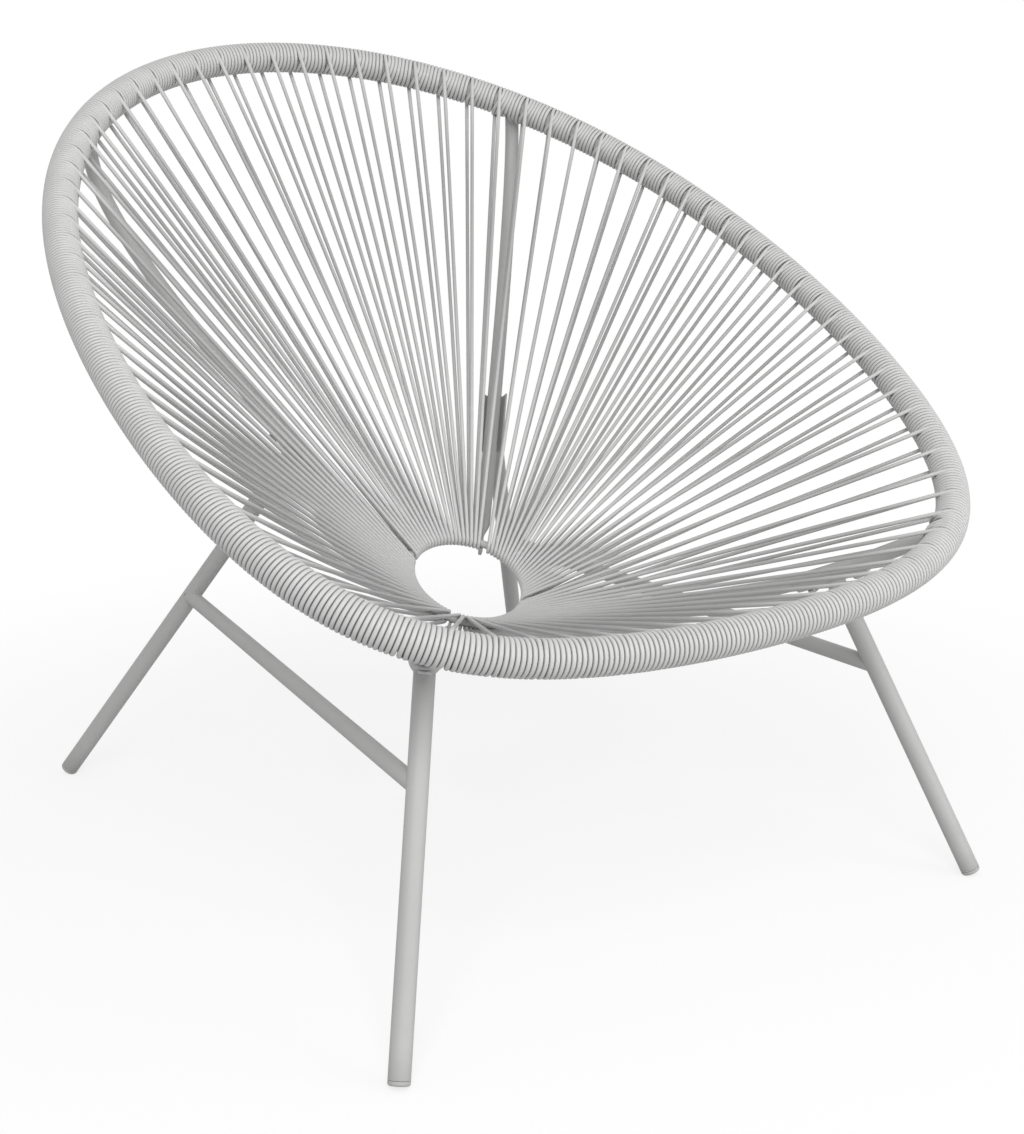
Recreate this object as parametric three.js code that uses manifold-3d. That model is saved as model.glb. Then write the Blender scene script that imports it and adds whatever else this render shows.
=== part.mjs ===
// Acapulco chair: a low outdoor chair whose seat is a fan of cord strung between
// a large egg-shaped ring and a small ring under the sitter, carried by two leg frames.
//
// Millimetres, +Z up, the front of the chair towards -Y, the floor at Z = 0 and the
// origin under the middle of the chair. The left side is the mirror image of the right,
// apart from the cord, which is laced all the way round in one direction.

import * as THREE from "three";
import { mergeVertices } from "three/addons/utils/BufferGeometryUtils.js";
import Module from "manifold-3d";

const wasm = await Module();
wasm.setup();

// Fits and cuts
const seatGap = 0.3; // air left between two pieces that touch
const cutOverrun = 30; // how far a cutting tool runs past the piece that it cuts

// Large ring: an egg seen square on, leaning back, its sides drawn up the back
const basketTilt = THREE.MathUtils.degToRad(29.7);
const ringHeight = 524; // middle of the ring above the floor
const ringHalfWidth = 440;
const ringHalfLength = 475;
const ringCrown = 86; // how far the widest place lies up the back, and the ends with it
const ringWarp = 4; // how far the sides stand proud of the ring's own plane
const ringEggShare = 0.113; // how much wider the head is than the foot
const ringShoulderShare = 0.0736; // how much the shoulders fill out
const ringTube = 25;

// Small ring, which the cord hangs on
const seatDepth = 272; // below the large ring's middle, square to its plane
const seatForward = 41; // in front of the large ring's middle, along its plane
const seatRingRadius = 66;
const seatRingRod = 8;

// Cord: one loop in each bay, off the large ring, round the small one and back
const cord = 4;
const loops = 84;
const twistLoops = 1.5; // how many places round each loop meets the small ring
const bayDriftShares = [0.0043, 0.0073]; // bays at the foot and head are wider
const grooveDepth = 1.3; // the winding draws in where a loop comes off it
const cordSink = 1.6; // how far a loop's ends lie inside the winding's outer turns
const bendAir = 0.7; // between the small ring's rod and the flats of a loop's bend
const ribOpening = 7.5; // extra room on the small ring for each rib

// Ribs: bent tubes from the large ring to the small one, pressed flat at the inner end
const ribTube = 16;
const ribEndDrop = 15; // middle of the pressed end below the middle of the small ring's rod
const tongueThickness = 3.2;
const tongueHeight = 22;
const tongueLength = 18;
const tongueShoulder = 24; // along which the round tube is pressed flat
const tongueLand = 2; // of its upper edge left standing beside the rod
const backRib = {
  loopsFromFront: 34,
  seatAngle: THREE.MathUtils.degToRad(45),
  reachShares: [0.01, 0.563],
  sags: [99.5, 38.5],
  leans: [36.8, 16.3],
};
const frontRib = {
  loopsFromFront: 8,
  seatAngle: THREE.MathUtils.degToRad(-45),
  reachShares: [0.1, 0.4],
  sags: [-5, 64.5],
  leans: [1, 0],
};

// Leg frames: a front and a back leg on each side, joined by a stretcher
const legTube = 19;
const stretcherTube = 16;
const tubeWall = 1.5;
const frontLeg = { footHalfSpan: 339, footY: -390, ribShare: 0.2655, stretcherShare: 0.697 };
const backLeg = { footHalfSpan: 321, footY: 388, ribShare: 0.711, stretcherShare: 0.565 };

// Saddles: half pipes on the leg tops that the ribs are bolted into
const saddleLength = 75;
const saddleRadius = 15;
const saddleWall = 2.5;
const saddleLip = 3; // how far below the pipe's middle its edges are cut off
const boltSpacing = 48;
const boltShank = 6;
const boltHole = 6.6;
const boltReach = 10; // of the shank beyond the saddle
const boltHead = 11;
const boltHeadHeight = 3.3;
const boltHeadEdge = 1.2; // upright rim of the domed head
const boltCrown = 7; // flat on top of the domed head
const boltSocket = 4.6; // across the corners
const boltSocketDepth = 2;
const insertOuter = 9;
const insertLength = 12;
const insertRecess = 1.6; // below the lowest line of the rib

// Feet: caps in the lower leg ends
const footCap = 4;
const footRound = 2;
const footStem = 14;
const footFlat = 0.8; // how much of the cap's lowest edge is levelled to stand on

// Facets
const ringStations = 56;
const ringSides = 8;
const seatRingStations = 42;
const rodSides = 8;
const tubeSides = 12;
const ribSides = 10;
const ribSteps = 12;
const shoulderSteps = 3;
const bendCorners = 2;
const saddleSteps = 2;
const saddleSides = 16;
const boltSides = 8;
const socketSides = 6;
const roundSteps = 2;
const seamFuzz = 0.2; // how far the seams between the loops and the winding may shift

const powderCoat = { color: 0xc8c8c7, roughness: 0.6, metalness: 0 };
const cordPlastic = { color: 0xd8d8d7, roughness: 0.45, metalness: 0 };
const capPlastic = { color: 0xc0c0bf, roughness: 0.65, metalness: 0 };
const zincPlate = { color: 0xb9babb, roughness: 0.35, metalness: 1 };

// Vectors

const vec = (x, y, z) => new THREE.Vector3(x, y, z);
const along = (point, way, distance) => point.clone().addScaledVector(way, distance);
const direction = (from, to) => to.clone().sub(from).normalize();
const squareTo = (vector, axis) => vector.clone().addScaledVector(axis, -vector.dot(axis)).normalize();
const cross = (a, b) => new THREE.Vector3().crossVectors(a, b).normalize();

// Solids

function solidOf(geometry) {
  const bare = geometry.clone();
  bare.deleteAttribute("normal");
  bare.deleteAttribute("uv");
  const merged = mergeVertices(bare, seatGap / 1000);
  const corners = Array.from(merged.index.array);
  const kept = [];
  for (let i = 0; i < corners.length; i += 3) {
    const [a, b, c] = corners.slice(i, i + 3);
    if (a !== b && b !== c && c !== a) kept.push(a, b, c);
  }
  return new wasm.Manifold(new wasm.Mesh({
    numProp: 3,
    vertProperties: new Float32Array(merged.attributes.position.array),
    triVerts: new Uint32Array(kept),
  }));
}

function geometryOf(solid) {
  const mesh = solid.getMesh();
  const geometry = new THREE.BufferGeometry();
  geometry.setAttribute("position", new THREE.BufferAttribute(mesh.vertProperties, 3));
  geometry.setIndex(new THREE.BufferAttribute(mesh.triVerts, 1));
  return geometry;
}

function cut(geometry, ...tools) {
  return geometryOf(tools.reduce((solid, tool) => solid.subtract(solidOf(tool)), solidOf(geometry)));
}

// A skin over rings of points that run right-handed about the way they follow each other,
// capped at both ends or closed into a loop.
function loft(rings, closed = false) {
  const sides = rings[0].length;
  const triangles = [];
  const spans = closed ? rings.length : rings.length - 1;
  for (let i = 0; i < spans; i += 1) {
    const near = i * sides;
    const far = ((i + 1) % rings.length) * sides;
    for (let j = 0; j < sides; j += 1) {
      const k = (j + 1) % sides;
      triangles.push(near + j, near + k, far + k, near + j, far + k, far + j);
    }
  }
  if (!closed) {
    const last = (rings.length - 1) * sides;
    for (let j = 1; j < sides - 1; j += 1) {
      triangles.push(0, j + 1, j, last, last + j, last + j + 1);
    }
  }
  const geometry = new THREE.BufferGeometry();
  const places = rings.flat().flatMap((point) => point.toArray());
  geometry.setAttribute("position", new THREE.Float32BufferAttribute(places, 3));
  geometry.setIndex(triangles);
  return geometry;
}

// Points on an ellipse, from its first direction towards its second.
function ellipse(centre, first, second, firstRadius, secondRadius, sides, start = 0) {
  return Array.from({ length: sides }, (_, j) => {
    const angle = start + (j / sides) * 2 * Math.PI;
    const point = along(centre, first, firstRadius * Math.cos(angle));
    return along(point, second, secondRadius * Math.sin(angle));
  });
}

// A rectangle of points with its sides square to the two directions.
function rectangle(centre, first, second, firstHalf, secondHalf) {
  const corner = Math.SQRT2;
  return ellipse(centre, first, second, firstHalf * corner, secondHalf * corner, 4, Math.PI / 4);
}

// A straight round bar, a corner of its section on the side given.
function bar(from, to, side, radius, sides) {
  const axis = direction(from, to);
  const first = squareTo(side, axis);
  const second = cross(axis, first);
  return loft([from, to].map((point) => ellipse(point, first, second, radius, radius, sides)));
}

// A turned or boxed shape put with its Y axis along a direction.
function stand(geometry, origin, axis, side) {
  const third = squareTo(side, axis);
  const basis = new THREE.Matrix4().makeBasis(cross(axis, third), axis, third);
  return geometry.clone().applyMatrix4(basis.setPosition(origin));
}

function turned(profile, sides) {
  return new THREE.LatheGeometry(profile.map(([radius, height]) => new THREE.Vector2(radius, height)), sides);
}

function mirrored(geometry) {
  const other = geometry.clone().applyMatrix4(new THREE.Matrix4().makeScale(-1, 1, 1));
  const corners = other.index.array;
  for (let i = 0; i < corners.length; i += 3) {
    [corners[i], corners[i + 1]] = [corners[i + 1], corners[i]];
  }
  return other;
}

// Large ring

const basketUp = vec(0, Math.cos(basketTilt), Math.sin(basketTilt)); // up the back, in the ring's plane
const basketNormal = vec(0, -Math.sin(basketTilt), Math.cos(basketTilt));
// The ring's middle stands back from the origin so that its front and back ends are level with it.
const ringMiddle = vec(0, -ringCrown * basketUp.y + ringWarp * basketNormal.y, ringHeight);

function ringPoint(t) {
  const shoulder = ringShoulderShare * Math.cos(2 * t);
  const across = ringHalfWidth * Math.cos(t) * (1 + ringEggShare * Math.sin(t) - shoulder);
  const upward = ringHalfLength * Math.sin(t) - ringCrown * Math.cos(2 * t);
  const point = along(ringMiddle, basketUp, upward).setX(across);
  return along(point, basketNormal, ringWarp * Math.cos(2 * t));
}

class RingCurve extends THREE.Curve {
  getPoint(u) {
    return ringPoint((2 * u - 0.5) * Math.PI);
  }
}

const ringCurve = new RingCurve();
ringCurve.arcLengthDivisions = 1680;

// The share of the way round the ring, from the middle of the front, at a count of loops.
function ringPlace(count) {
  const turn = count / loops;
  const [once, twice] = bayDriftShares;
  return turn + once * Math.sin(2 * Math.PI * turn) + twice * Math.sin(4 * Math.PI * turn);
}

function ringSkin(radius) {
  const rings = Array.from({ length: ringStations }, (_, i) => {
    const point = ringCurve.getPointAt(i / ringStations);
    const tangent = ringCurve.getTangentAt(i / ringStations);
    const outward = cross(tangent, basketNormal);
    return ellipse(point, outward, cross(tangent, outward), radius, radius, ringSides);
  });
  return loft(rings, true);
}

// Small ring

const seatMiddle = along(along(ringMiddle, basketNormal, -seatDepth), basketUp, -seatForward);

function seatPoint(angle, radius = seatRingRadius) {
  return along(seatMiddle, basketUp, radius * Math.sin(angle)).setX(radius * Math.cos(angle));
}

function seatTangent(angle) {
  return basketUp.clone().multiplyScalar(Math.cos(angle)).setX(-Math.sin(angle));
}

function seatRingSkin(radius) {
  const rings = Array.from({ length: seatRingStations }, (_, i) => {
    const angle = (i / seatRingStations) * 2 * Math.PI;
    const outward = cross(seatTangent(angle), basketNormal);
    const downward = cross(seatTangent(angle), outward);
    return ellipse(seatPoint(angle), outward, downward, radius, radius, rodSides);
  });
  return loft(rings, true);
}

// Cord

const cordHalf = (cord * Math.sqrt(Math.PI)) / 4; // half the side of a square as large as the cord
const woundRadius = ringTube / 2 + cord;
const bendRadius = seatRingRod / 2 + cordHalf + bendAir;
const loopsPerQuarter = loops / 4;
const slotPitch = (Math.PI / 2 - ribOpening / seatRingRadius) / loopsPerQuarter;

// Where the numbered slots lie round the small ring: an equal fan between each two ribs.
function slotAngle(slot) {
  const quarter = Math.floor((slot + (loopsPerQuarter - 1) / 2) / loopsPerQuarter);
  return ((quarter - 1) * Math.PI) / 2 + (slot - quarter * loopsPerQuarter) * slotPitch;
}

// A loop, or the middle of the bay between two, at a count of loops from the middle of the front.
function lacing(count, shift = 0) {
  const slot = count - twistLoops;
  const angle = (slotAngle(Math.floor(slot)) + slotAngle(Math.ceil(slot))) / 2;
  const place = (ringPlace(count) + shift + 1) % 1;
  const ringEnd = ringCurve.getPointAt(place);
  const ringTangent = ringCurve.getTangentAt(place);
  const seatEnd = seatPoint(angle);
  const inward = direction(ringEnd, seatEnd);
  const ringLift = cross(ringTangent, inward);
  const seatLift = cross(seatTangent(angle), inward);
  return { ringEnd, ringTangent, ringLift, seatEnd, seatLift, inward, seatTangent: seatTangent(angle) };
}

// One stretch of the winding from bay to bay: close turns of cord round the ring, swelling in each
// bay and drawn in where a loop comes off.
function windingSkin(firstBay, lastBay) {
  const endShift = seatGap / 2 / ringCurve.getLength();
  const steps = 2 * (lastBay - firstBay);
  const rings = Array.from({ length: steps + 1 }, (_, i) => {
    const count = firstBay + i / 2;
    const { ringEnd, ringTangent, inward } = lacing(count, i === 0 ? endShift : i === steps ? -endShift : 0);
    const radius = woundRadius - (i % 2) * grooveDepth;
    const first = squareTo(inward, ringTangent);
    return ellipse(ringEnd, first, cross(ringTangent, first), radius, radius, ringSides);
  });
  return loft(rings);
}

// One loop: down from the winding, round the small ring's rod, mitred at the corners, and back.
function loopSkin({ ringEnd, ringLift, seatEnd, seatLift, seatTangent, inward }) {
  const half = Math.PI / (2 * bendCorners);
  const mitre = 1 / Math.cos(half);
  const beside = cross(inward, seatLift);
  const slant = 1 / seatTangent.clone().cross(inward).length(); // a loop that comes in askew rounds an ellipse
  const bend = Array.from({ length: bendCorners }, (_, i) => {
    const turn = (2 * i + 1) * half;
    const outward = along(seatLift.clone().multiplyScalar(Math.cos(turn)), inward, Math.sin(turn) * slant);
    const centre = along(seatEnd, outward, bendRadius * mitre);
    return rectangle(centre, outward.normalize(), beside, cordHalf * mitre, cordHalf - seatGap / 2);
  });
  const [start, finish] = [1, -1].map((side) => {
    const point = along(ringEnd, ringLift, side * (ringTube / 2 + cord / 2 - cordSink));
    return rectangle(point, ringLift.clone().multiplyScalar(side), beside, cordHalf, cordHalf);
  });
  return loft([start, ...bend, finish]);
}

// The cord between two ribs, wound and laced in one length.
function cordGeometry(firstBay, lastBay, notches) {
  const loopSolids = Array.from({ length: lastBay - firstBay }, (_, i) => (
    solidOf(loopSkin(lacing(firstBay + i + 0.5)))));
  const ring = solidOf(ringSkin(ringTube / 2 + seatGap));
  const whole = loopSolids.reduce((solid, one) => solid.add(one), solidOf(windingSkin(firstBay, lastBay)));
  const opened = notches.reduce((solid, notch) => solid.subtract(solidOf(notch)), whole.subtract(ring));
  return geometryOf(opened.asOriginal().simplify(seamFuzz));
}

// Ribs

function ribCurve({ loopsFromFront, seatAngle, reachShares, sags, leans }) {
  const start = ringCurve.getPointAt(ringPlace(loopsFromFront));
  const end = along(seatPoint(seatAngle), basketNormal, -ribEndDrop);
  const axis = direction(start, end);
  const up = squareTo(basketNormal, axis);
  const side = cross(axis, up);
  const controls = reachShares.map((reach, i) => {
    const point = start.clone().lerp(end, reach);
    return along(along(point, up, -sags[i]), side, -leans[i]);
  });
  return new THREE.CubicBezierCurve3(start, ...controls, end);
}

// The rib's section at a share of its length: round, then pressed flat towards the small ring.
function ribSection(curve, seatAngle, share, clearance) {
  const fromEnd = (1 - share) * curve.getLength();
  const roundness = THREE.MathUtils.smoothstep(fromEnd, tongueLength, tongueLength + tongueShoulder);
  const halfThickness = THREE.MathUtils.lerp(tongueThickness / 2, ribTube / 2, roundness) + clearance;
  const halfHeight = THREE.MathUtils.lerp(tongueHeight / 2, ribTube / 2, roundness) + clearance;
  const centre = curve.getPointAt(share);
  const tangent = curve.getTangentAt(share);
  const flatways = squareTo(seatTangent(seatAngle), tangent);
  const upright = cross(tangent, flatways);
  return Array.from({ length: ribSides }, (_, j) => {
    const angle = (j / ribSides) * 2 * Math.PI;
    const across = (ribTube / 2 + clearance) * Math.cos(angle);
    const pressed = THREE.MathUtils.clamp(across, -halfThickness, halfThickness);
    return along(along(centre, flatways, pressed), upright, halfHeight * Math.sin(angle));
  });
}

function ribShares(length) {
  const roundEnd = 1 - (tongueLength + tongueShoulder) / length;
  const tongueStart = 1 - tongueLength / length;
  const roundShares = Array.from({ length: ribSteps }, (_, i) => (i / ribSteps) * roundEnd);
  const shoulderShares = Array.from({ length: shoulderSteps }, (_, i) => (
    THREE.MathUtils.lerp(roundEnd, tongueStart, i / shoulderSteps)));
  return [...roundShares, ...shoulderShares, tongueStart, 1];
}

function ribSkin(rib, clearance, sections = Infinity) {
  const curve = ribCurve(rib);
  const shares = ribShares(curve.getLength()).slice(0, sections);
  return loft(shares.map((share) => ribSection(curve, rib.seatAngle, share, clearance)));
}

// The opening in the winding that the rib comes through, along the rib's first steps.
const ribNotch = (rib) => ribSkin(rib, seatGap, 3);

// The saddle's place on the rib: points along it, with the way down to the leg.
function ribSite(rib, leg) {
  const curve = ribCurve(rib);
  const middle = curve.getPointAt(leg.ribShare);
  const foot = vec(leg.footHalfSpan, leg.footY, 0);
  const at = (offset) => {
    const share = leg.ribShare + offset / curve.getLength();
    const tangent = curve.getTangentAt(share);
    return { point: curve.getPointAt(share), tangent, down: squareTo(direction(middle, foot), tangent) };
  };
  return { foot, middle, axis: direction(foot, middle), at };
}

// The space of the loops that pass over the rib's pressed end, whose upper corner is sheared off there.
function loopSpace(rib) {
  const { seatAngle } = rib;
  const seatEnd = seatPoint(seatAngle);
  const beside = seatTangent(seatAngle);
  const outward = direction(seatEnd, ribCurve(rib).v0);
  const lift = cross(outward, beside);
  const underside = bendRadius + cordHalf + seatGap;
  const ends = [seatRingRod / 2 + tongueLand, tongueLength + tongueShoulder].map((distance) => (
    along(along(seatEnd, outward, distance), lift, tongueHeight - underside)));
  return loft(ends.map((point) => rectangle(point, beside, cross(outward, beside), ribTube, tongueHeight)));
}

const boltPlaces = [-boltSpacing / 2, boltSpacing / 2];
const insertSeat = ribTube / 2 - insertRecess; // the insert's lower end, below the rib's middle

function ribGeometry(rib, leg) {
  const { at } = ribSite(rib, leg);
  const pockets = boltPlaces.map((offset) => {
    const { point, tangent, down } = at(offset);
    const top = along(point, down, insertSeat - insertLength - seatGap);
    return bar(top, along(point, down, ribTube), tangent, insertOuter / 2 + seatGap, boltSides);
  });
  const ring = ringSkin(ringTube / 2 + seatGap);
  const rod = seatRingSkin(seatRingRod / 2 + seatGap);
  return cut(ribSkin(rib, 0), ring, rod, loopSpace(rib), ...pockets);
}

// Saddles and their fasteners

// A round skin that follows the rib and bears on its underside.
function cradle(site, radius, length) {
  const offsets = Array.from({ length: saddleSteps + 1 }, (_, i) => (i / saddleSteps - 0.5) * length);
  const axisDepth = ribTube / 2 + seatGap - (saddleRadius - saddleWall);
  return loft(offsets.map((offset) => {
    const { point, tangent, down } = site.at(offset);
    const centre = along(point, down, axisDepth);
    return ellipse(centre, down, cross(tangent, down), radius, radius, saddleSides);
  }));
}

function saddleGeometry(rib, leg) {
  const site = ribSite(rib, leg);
  const longer = saddleLength + saddleWall;
  const lipDepth = ribTube / 2 + seatGap - (saddleRadius - saddleWall) + saddleLip;
  const above = loft([-longer / 2, 0, longer / 2].map((offset) => {
    const { point, tangent, down } = site.at(offset);
    const centre = along(point, down, lipDepth - saddleRadius * 2);
    return rectangle(centre, down, cross(tangent, down), saddleRadius * 2, saddleRadius * 2);
  }));
  const holes = boltPlaces.map((offset) => {
    const { point, tangent, down } = site.at(offset);
    return bar(point, along(point, down, saddleRadius + cutOverrun), tangent, boltHole / 2, boltSides);
  });
  const inside = cradle(site, saddleRadius - saddleWall, longer);
  return cut(cradle(site, saddleRadius, saddleLength), inside, above, ...holes);
}

const boltSeat = ribTube / 2 + saddleWall + 2 * seatGap; // under the head, below the rib's middle

function boltGeometry({ point, tangent, down }) {
  const profile = [
    [0, -boltHeadHeight],
    [boltCrown / 2, -boltHeadHeight],
    [boltHead / 2, -boltHeadEdge],
    [boltHead / 2, 0],
    [boltShank / 2, 0],
    [boltShank / 2, saddleWall + boltReach],
    [0, saddleWall + boltReach],
  ];
  const inward = down.clone().negate();
  const bolt = stand(turned(profile, boltSides), along(point, down, boltSeat), inward, tangent);
  const underside = boltSeat + boltHeadHeight;
  const socketTop = along(point, down, underside - boltSocketDepth);
  return cut(bolt, bar(socketTop, along(point, down, underside + cutOverrun), tangent, boltSocket / 2, socketSides));
}

function insertGeometry({ point, tangent, down }) {
  const profile = [
    [boltHole / 2, 0],
    [insertOuter / 2, 0],
    [insertOuter / 2, insertLength],
    [boltHole / 2, insertLength],
    [boltHole / 2, 0],
  ];
  const inward = down.clone().negate();
  return geometryOf(solidOf(stand(turned(profile, boltSides), along(point, down, insertSeat), inward, tangent)));
}

// Leg frames

// Where the leg's square-cut lower end lies, so that the levelled edge of its cap meets the floor.
function legEnd({ foot, axis }) {
  const steepness = axis.z;
  const overhang = Math.sqrt(1 - steepness * steepness);
  const height = footRound * (1 - steepness) + (legTube / 2 - footRound) * overhang - footFlat;
  return along(foot, axis, height / steepness);
}

function legBar(site, radius, from, to) {
  return bar(from, to, vec(0, 0, 1), radius, tubeSides);
}

function legGeometry(rib, leg) {
  const site = ribSite(rib, leg);
  const lower = along(legEnd(site), site.axis, footCap + seatGap);
  const outside = legBar(site, legTube / 2, lower, site.middle);
  const bore = legBar(site, legTube / 2 - tubeWall, along(lower, site.axis, -cutOverrun), site.middle);
  return cut(outside, bore, cradle(site, saddleRadius + seatGap, saddleLength));
}

function capGeometry(rib, leg) {
  const site = ribSite(rib, leg);
  const rounding = Array.from({ length: roundSteps + 1 }, (_, i) => {
    const angle = (i / roundSteps) * (Math.PI / 2);
    return [legTube / 2 - footRound * (1 - Math.sin(angle)), footRound * (1 - Math.cos(angle))];
  });
  const stemRadius = legTube / 2 - tubeWall - seatGap;
  const profile = [
    [0, 0],
    ...rounding,
    [legTube / 2, footCap],
    [stemRadius, footCap],
    [stemRadius, footCap + footStem],
    [0, footCap + footStem],
  ];
  const cap = stand(turned(profile, tubeSides), legEnd(site), site.axis, vec(0, 0, 1));
  const floor = new THREE.BoxGeometry(legTube * 3, legTube * 3, cutOverrun);
  floor.translate(site.foot.x, site.foot.y, -cutOverrun / 2);
  return cut(cap, floor);
}

function stretcherGeometry() {
  const ends = [[frontRib, frontLeg], [backRib, backLeg]].map(([rib, leg]) => {
    const site = ribSite(rib, leg);
    const tool = legBar(site, legTube / 2 + seatGap, site.foot, site.middle);
    return { place: site.foot.clone().lerp(site.middle, leg.stretcherShare), tool };
  });
  const [front, back] = ends.map(({ place }) => place);
  const outside = bar(front, back, vec(0, 0, 1), stretcherTube / 2, tubeSides);
  const bore = bar(front, back, vec(0, 0, 1), stretcherTube / 2 - tubeWall, tubeSides);
  return cut(outside, bore, ...ends.map(({ tool }) => tool));
}

// Assembly

function piece(name, geometry, look) {
  const mesh = new THREE.Mesh(geometry, new THREE.MeshStandardMaterial(look));
  mesh.name = name;
  return mesh;
}

function pair(name, geometry, look) {
  return [piece(`${name}_right`, geometry, look), piece(`${name}_left`, mirrored(geometry), look)];
}

const mounts = { front: [frontRib, frontLeg], back: [backRib, backLeg] };

function legFrames() {
  const frames = new THREE.Group();
  for (const [end, [rib, leg]] of Object.entries(mounts)) {
    frames.add(...pair(`${end}_leg`, legGeometry(rib, leg), powderCoat));
    frames.add(...pair(`${end}_saddle`, saddleGeometry(rib, leg), powderCoat));
    frames.add(...pair(`${end}_foot_cap`, capGeometry(rib, leg), capPlastic));
  }
  frames.add(...pair("stretcher", stretcherGeometry(), powderCoat));
  return frames;
}

function basketFrame() {
  const frame = new THREE.Group();
  frame.add(piece("outer_ring", geometryOf(solidOf(ringSkin(ringTube / 2))), powderCoat));
  frame.add(piece("seat_ring", geometryOf(solidOf(seatRingSkin(seatRingRod / 2))), powderCoat));
  for (const [end, [rib, leg]] of Object.entries(mounts)) {
    frame.add(...pair(`${end}_rib`, ribGeometry(rib, leg), powderCoat));
  }
  return frame;
}

function lacedCord() {
  const bays = {
    front: [-frontRib.loopsFromFront, frontRib.loopsFromFront],
    right: [frontRib.loopsFromFront, backRib.loopsFromFront],
    back: [backRib.loopsFromFront, loops - backRib.loopsFromFront],
    left: [loops - backRib.loopsFromFront, loops - frontRib.loopsFromFront],
  };
  const rightNotches = [frontRib, backRib].map(ribNotch);
  const notches = [...rightNotches, ...rightNotches.map(mirrored)];
  const laced = new THREE.Group();
  for (const [side, [firstBay, lastBay]] of Object.entries(bays)) {
    laced.add(piece(`${side}_cord`, cordGeometry(firstBay, lastBay, notches), cordPlastic));
  }
  return laced;
}

function fasteners() {
  const kit = new THREE.Group();
  for (const [end, [rib, leg]] of Object.entries(mounts)) {
    const { at } = ribSite(rib, leg);
    boltPlaces.forEach((offset, i) => {
      const place = `${end}_${["outer", "inner"][i]}`;
      kit.add(...pair(`${place}_bolt`, boltGeometry(at(offset)), zincPlate));
      kit.add(...pair(`${place}_insert`, insertGeometry(at(offset)), zincPlate));
    });
  }
  return kit;
}

const chair = new THREE.Group();
chair.add(basketFrame(), lacedCord(), legFrames(), fasteners());

export default chair;
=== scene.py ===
# %% [markdown]
# # A laced patio chair
#
# The chair is two steel rings joined by four bent ribs, with one long plastic cord wound round
# the large ring and strung in loops to the small one. Two splayed leg frames carry it.
# The packed model gives every steel part its place. This script adds what a camera sees from
# close by: round tubes, welds, the turns of the cord, powder coat and soft light. Sizes and
# places are in millimetres, except inside the finishes, where they are in metres.

# %% Load the fixed frame
import math

import bpy
import numpy as np
from mathutils import Matrix


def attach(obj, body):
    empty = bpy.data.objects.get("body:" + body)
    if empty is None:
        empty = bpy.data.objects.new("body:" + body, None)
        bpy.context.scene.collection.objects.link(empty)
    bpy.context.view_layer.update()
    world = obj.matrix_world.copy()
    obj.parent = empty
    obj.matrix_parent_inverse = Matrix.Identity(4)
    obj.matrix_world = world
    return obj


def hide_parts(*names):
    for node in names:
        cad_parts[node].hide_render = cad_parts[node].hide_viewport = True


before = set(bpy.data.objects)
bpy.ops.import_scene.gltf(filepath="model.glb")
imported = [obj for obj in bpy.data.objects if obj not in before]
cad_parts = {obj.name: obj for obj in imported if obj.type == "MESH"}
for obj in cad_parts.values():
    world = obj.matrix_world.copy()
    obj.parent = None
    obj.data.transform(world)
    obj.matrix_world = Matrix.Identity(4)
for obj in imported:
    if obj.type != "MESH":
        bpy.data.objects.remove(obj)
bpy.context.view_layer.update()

# %% [markdown]
# ## The camera
#
# The picture is taken from the front left, a little above the rim, with a long lens. Position
# and target were found by matching the feet, the rim and the small ring to the picture. They
# are the first thing set, because every other choice is judged through this camera.

# %% Camera
MM = 0.001
camera_place = np.array([-948.9, -1432.4, 780.9])
camera_target = np.array([300.6, 376.5, 149.3])
focal_length, film_width = 54.54, 36.0
furthest_seen = 50000.0


def pointing(direction):
    """Rotation whose -Z looks along a direction: right = up x back, and its Y = back x right."""
    back = -np.asarray(direction, float) / np.linalg.norm(direction)
    right = np.cross((0.0, 0.0, 1.0), back)
    right /= np.linalg.norm(right)
    return np.column_stack([right, np.cross(back, right), back])


def placed(obj, place, target):
    """Puts a lamp or camera at a place in millimetres, looking at a target."""
    matrix = np.eye(4)
    matrix[:3, :3] = pointing(np.asarray(target, float) - place)
    matrix[:3, 3] = np.asarray(place, float) * MM
    obj.matrix_world = Matrix(matrix.tolist())
    bpy.context.scene.collection.objects.link(obj)
    return obj


lens = bpy.data.cameras.new("portrait_lens")
lens.lens = focal_length
lens.sensor_width = film_width
lens.clip_end = furthest_seen * MM
bpy.context.scene.camera = placed(bpy.data.objects.new("camera", lens), camera_place, camera_target)
camera_distance = float(np.linalg.norm(camera_target - camera_place)) * MM
print("camera stands", round(camera_distance, 2), "m from its target")

# %% [markdown]
# ## Vectors and curves as arrays
#
# Every shape below is worked out for all its points at once. A handful of helpers on arrays
# whose last axis holds x, y and z keeps the formulas readable.

# %% Array helpers


def unit(vectors):
    """Each vector divided by its length."""
    return vectors / np.linalg.norm(vectors, axis=-1, keepdims=True)


def dots(a, b):
    """Dot products, kept as a last axis of one so that they can scale vectors."""
    return np.sum(a * b, axis=-1, keepdims=True)


def square_to(vectors, axis):
    """The part of each vector that is square to an axis, made one long."""
    return unit(vectors - dots(vectors, axis) * axis)


def smooth(low, high, x):
    """Smooth step: 0 below low, 1 above high, 3x^2 - 2x^3 between."""
    share = np.clip((x - low) / (high - low), 0.0, 1.0)
    return share * share * (3.0 - 2.0 * share)


def mix(a, b, share):
    """a where share is 0 and b where it is 1: a + (b - a) share."""
    return a + (b - a) * share


def running_length(points):
    """Length along a row of points, from 0 at its first."""
    return np.concatenate([[0.0], np.cumsum(np.linalg.norm(np.diff(points, axis=0), axis=1))])


def tangent_at(curve, t, step=1e-4):
    """The way a curve runs at t: the difference over a small step, made one long."""
    return unit(curve(t + step) - curve(t - step))


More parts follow.
